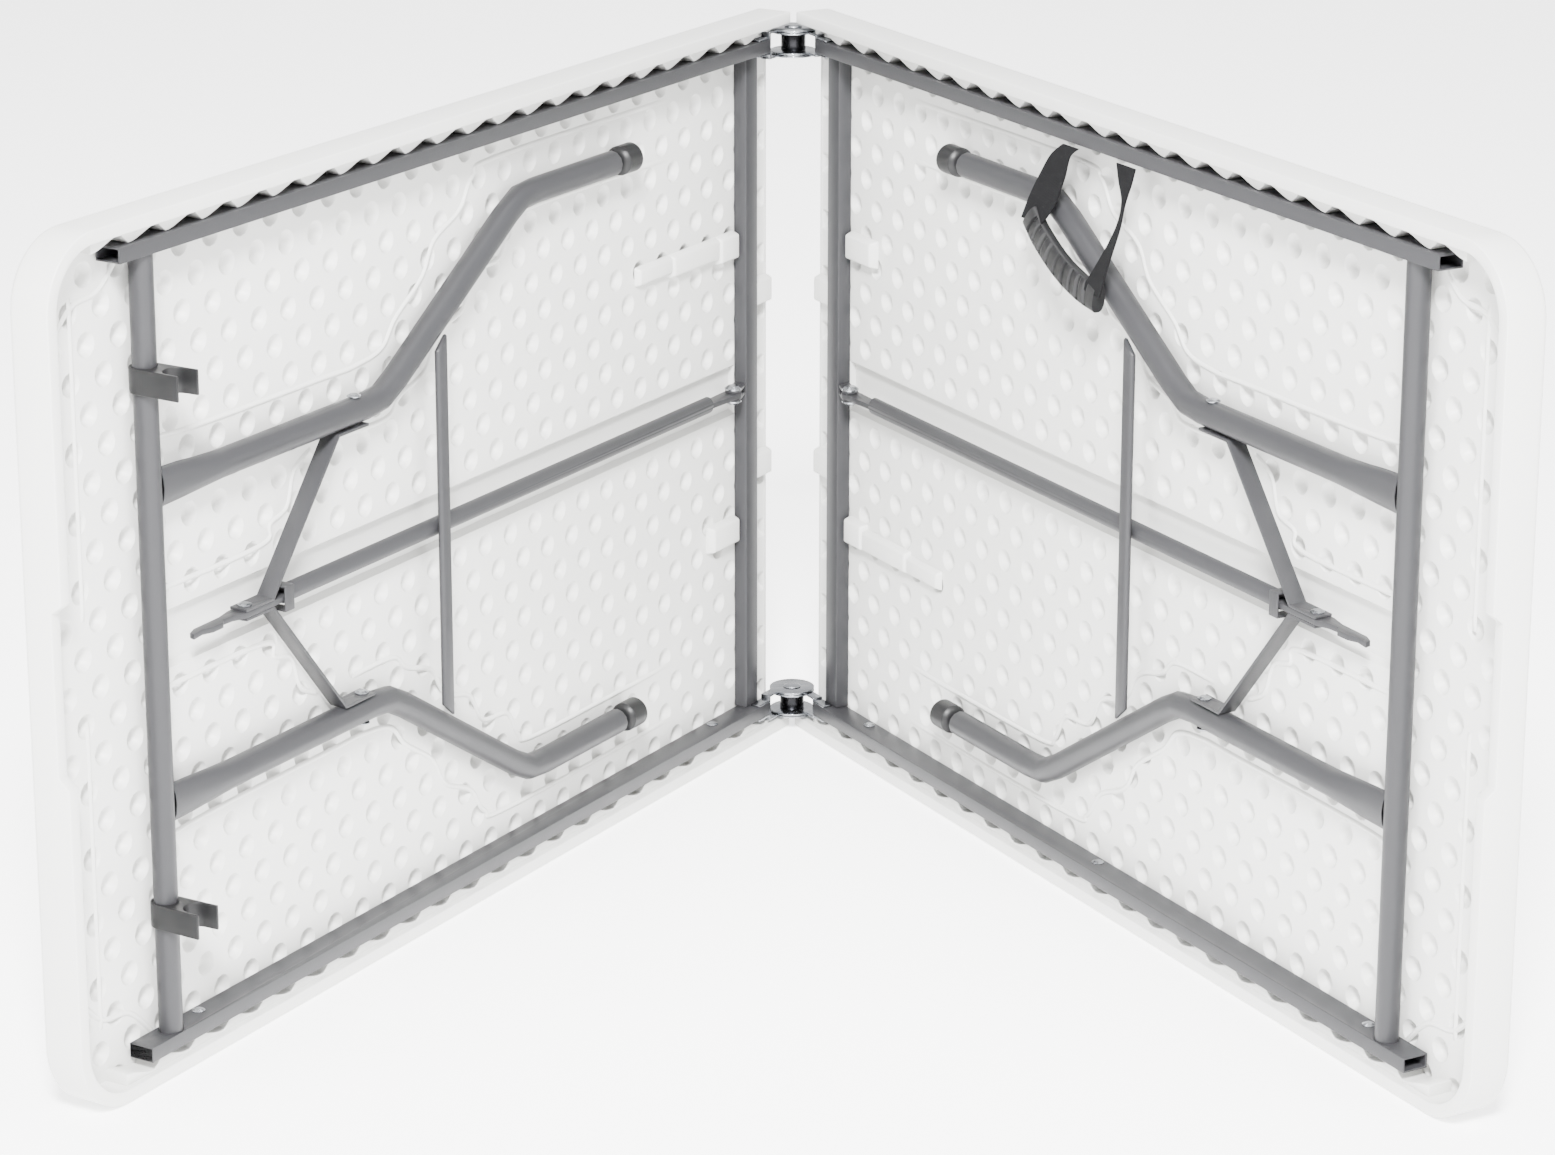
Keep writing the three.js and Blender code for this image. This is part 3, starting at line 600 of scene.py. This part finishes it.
def makeCreases():
    made = []
    for points, steps in crease["lines"]:
        made.append(makeCrease("crease", points, steps))
        mirrored = [(u, top["width"] - y) for u, y in points]
        made.append(makeCrease("crease", mirrored, steps))
    return made


def makeTop():
    shell = makeShell()
    parts = [makeFloor(), makeGroove(), *makeBosses(), *makeScallops(), *makeCreases()]
    return mergeIn(shell, parts)


topA = makeTop()
topA.name = "topMouldingA"
smooth(topA, 32)
topB = copyOf(topA, "topMouldingB")
mirrorAcross(topB)
for piece, side in ((topA, "a"), (topB, "b")):
    placeOn(piece, side)
    finishPiece(piece, moulded, "half_" + side, ["top_" + side])
print("tops made", len(topA.data.polygons), "faces each")


# steel, zinc and plastic pieces that keep their CAD shape, with softened edges
def refined(node, name, width, segments, joinAngle):
    source = frame["nodes"][node]
    clearPick()
    mesh = source.data.copy()
    made = bpy.data.objects.new(name, mesh)
    bpy.context.scene.collection.objects.link(made)
    activate(made)
    pickAll(made)
    bpy.ops.mesh.remove_doubles(threshold=0.00003)
    bpy.ops.mesh.dissolve_limited(angle_limit=math.radians(1.0))
    doneEditing()
    if width:
        softEdges(made, width, segments, 35)
    smooth(made, joinAngle)
    return made


# edge width and segments for each kind of piece
refinedPieces = {
    "rail": (0.0009, 2), "fold_tube": (0.0009, 2), "leg_brace": (0.0, 0), "brace_arm": (0.0006, 2),
    "elbow_blade": (0.0007, 2), "strap": (0.0005, 2), "lock_ring": (0.0005, 2), "arm_bracket": (0.0004, 2),
    "hinge_leaf": (0.0004, 2), "hinge_pin": (0.0003, 2), "clip": (0.0006, 2), "pivot_tube": (0.0, 0),
    "leg": (0.0, 0), "foot_cap": (0.0, 0), "leg_rivet": (0.0, 0), "elbow_rivet": (0.0, 0),
    "arm_bolt": (0.0, 0), "rail_screw": (0.0, 0),
}


def camel(text):
    words = text.split("_")
    return words[0] + "".join(word.capitalize() for word in words[1:])


def kindOf(node):
    return max((kind for kind in refinedPieces if node.startswith(kind)), key=len, default=None)


bodyOf = {node: body for body, nodes in frame["record"]["behaviour"]["bodies"].items() for node in nodes}
for node in sorted(frame["nodes"]):
    kind = kindOf(node)
    if kind is None:
        continue
    width, segments = refinedPieces[kind]
    joinAngle = 45 if kind in ("leg", "pivot_tube") else 35
    made = refined(node, camel(node) + "Piece", width, segments, joinAngle)
    finishPiece(made, finishOf[slotOf[node]], bodyOf[node], [node])
print("frame pieces made")

# carry handle: two webbing straps and a ribbed grip, in the same lying frame as the tops
handle = {
    "thick": 0.0015,
    # each strap runs between two edges, every point as (along, across, depth)
    "first": ([(0.503, 0.722, 0), (0.484, 0.709, 0), (0.469, 0.691, 0.0002), (0.457, 0.666, 0.005),
               (0.452, 0.644, 0.011)],
              [(0.529, 0.722, 0), (0.515, 0.712, 0), (0.507, 0.691, 0.0002), (0.499, 0.665, 0.005),
               (0.486, 0.644, 0.011)]),
    "second": ([(0.592, 0.722, 0), (0.596, 0.706, 0), (0.6015, 0.686, 0), (0.596, 0.661, 0.003),
                (0.575, 0.624, 0.009), (0.557, 0.600, 0.012)],
               [(0.622, 0.722, 0), (0.616, 0.706, 0), (0.6065, 0.686, 0), (0.609, 0.664, 0.007),
                (0.601, 0.630, 0.013), (0.587, 0.598, 0.012)]),
    "grip": [(0.463, 0.648, 0.007), (0.482, 0.632, 0.008), (0.515, 0.612, 0.008), (0.548, 0.600, 0.008),
             (0.578, 0.594, 0.007)],
    "gripWide": 0.0135, "gripThick": 0.0068, "ribs": 9, "ribDepth": 0.0026,
}


def makeStrap(name, edges):
    left, right = edges
    long = sum((Vector(b) - Vector(a)).length for a, b in zip(left, left[1:]))
    wide = (Vector(left[0]) - Vector(right[0])).length

    def place(s, t):
        start, end = alongPath(left, t), alongPath(right, t)
        return start.lerp(end, s)
    strap = gridPiece(name, 12, 72, place)
    strap.data.uv_layers[0].name = "strapMap"
    layer = strap.data.uv_layers["strapMap"].data
    for loop in layer:
        loop.uv = (loop.uv[0] * wide, loop.uv[1] * long)
    pickAll(strap)
    bpy.ops.mesh.normals_make_consistent(inside=False)
    doneEditing()
    useModifier(strap, "SOLIDIFY", thickness=handle["thick"], offset=0)
    smooth(strap, 40)
    return strap


def makeGrip():
    points = handle["grip"]

    def place(s, t):
        middle = alongPath(points, t)
        ahead = (alongPath(points, min(t + 0.01, 1)) - alongPath(points, max(t - 0.01, 0))).normalized()
        side = ahead.cross(Vector((0, 0, 1))).normalized()
        angle = 2 * math.pi * s
        c, d = math.cos(angle), math.sin(angle)
        wide = handle["gripWide"] * math.copysign(abs(c) ** 0.7, c)
        thick = handle["gripThick"] * math.copysign(abs(d) ** 0.7, d)
        phase = (t * (handle["ribs"] + 2)) % 1
        slot = min(max((0.24 - abs(phase - 0.5)) / 0.08, 0), 1) if 0.09 < t < 0.91 else 0
        if d > 0.35 and abs(c) < 0.85:
            thick -= handle["ribDepth"] * slot
        return middle + side * wide + Vector((0, 0, thick))
    grip = gridPiece("grip", 40, 130, place)
    pickAll(grip)
    bpy.ops.mesh.remove_doubles(threshold=0.000002)
    bpy.ops.mesh.select_all(action="DESELECT")
    bpy.context.tool_settings.mesh_select_mode = (False, True, False)
    bpy.ops.mesh.select_non_manifold()
    bpy.ops.mesh.edge_face_add()
    bpy.ops.mesh.select_all(action="SELECT")
    bpy.ops.mesh.normals_make_consistent(inside=False)
    doneEditing()
    smooth(grip, 40)
    return grip


for number, key in ((1, "first"), (2, "second")):
    strap = makeStrap("handleStrap" + str(number), handle[key])
    placeOn(strap, "b")
    finishPiece(strap, webbing, "handle", ["handle_webbing_" + str(number)])
grip = makeGrip()
placeOn(grip, "b")
finishPiece(grip, black, "handle", ["handle_grip"])
print("handle made")

# floor, light and camera
clearPick()
bpy.ops.mesh.primitive_plane_add(size=14, location=(0, 0, -0.0005))
ground = bpy.context.active_object
ground.name = "ground"
groundFinish = Finish("paleFloor")
groundFinish.set(color=colour(253, 253, 253), roughness=0.9)
groundFinish.shader.inputs["Emission Color"].default_value = (1, 1, 1, 1)
groundFinish.shader.inputs["Emission Strength"].default_value = 1.5
ground.data.materials.append(groundFinish.material)

studio = {
    "world": 1.5,
    "lamps": [("keyLamp", (0.0, -4.6, 4.4), 1.3, 1900), ("leftLamp", (-3.4, -2.4, 1.8), 2.0, 130),
              ("rightLamp", (3.4, -2.4, 1.8), 2.0, 130), ("overLamp", (0.0, 0.8, 4.6), 3.0, 200)],
}
world = bpy.data.worlds.new("studioWorld")
bpy.context.scene.world = world
world.use_nodes = True
world.node_tree.nodes["Background"].inputs["Color"].default_value = (1, 1, 1, 1)
world.node_tree.nodes["Background"].inputs["Strength"].default_value = studio["world"]
for name, place, size, power in studio["lamps"]:
    lamp = bpy.data.lights.new(name, "AREA")
    lamp.shape = "DISK"
    lamp.size = size
    lamp.energy = power
    holder = bpy.data.objects.new(name, lamp)
    bpy.context.scene.collection.objects.link(holder)
    holder.location = place
    holder.rotation_mode = "QUATERNION"
    holder.rotation_quaternion = (Vector((0, 0, 0.35)) - Vector(place)).to_track_quat("-Z", "Y")

cameraView = {
    "place": (0.0591, -4.3537, 1.5890),
    "forward": (-0.016447, 0.960581, -0.277513), "right": (0.999848, 0.017410, 0.001008),
    "lens": 101.86, "shiftY": -0.10,
}
cameraData = bpy.data.cameras.new("studioCamera")
camera = bpy.data.objects.new("studioCamera", cameraData)
bpy.context.scene.collection.objects.link(camera)
forward = Vector(cameraView["forward"]).normalized()
right = Vector(cameraView["right"])
right = (right - forward * right.dot(forward)).normalized()
up = right.cross(forward)
turned = Matrix((right, up, -forward)).transposed().to_4x4()
place = Vector(cameraView["place"]) + Vector((hinge.x, hinge.y, 0))
camera.matrix_world = Matrix.Translation(place) @ turned
cameraData.sensor_width = 36
cameraData.lens = cameraView["lens"]
cameraData.shift_y = cameraView["shiftY"]
cameraData.clip_end = 100
bpy.context.scene.camera = camera
print("studio ready")
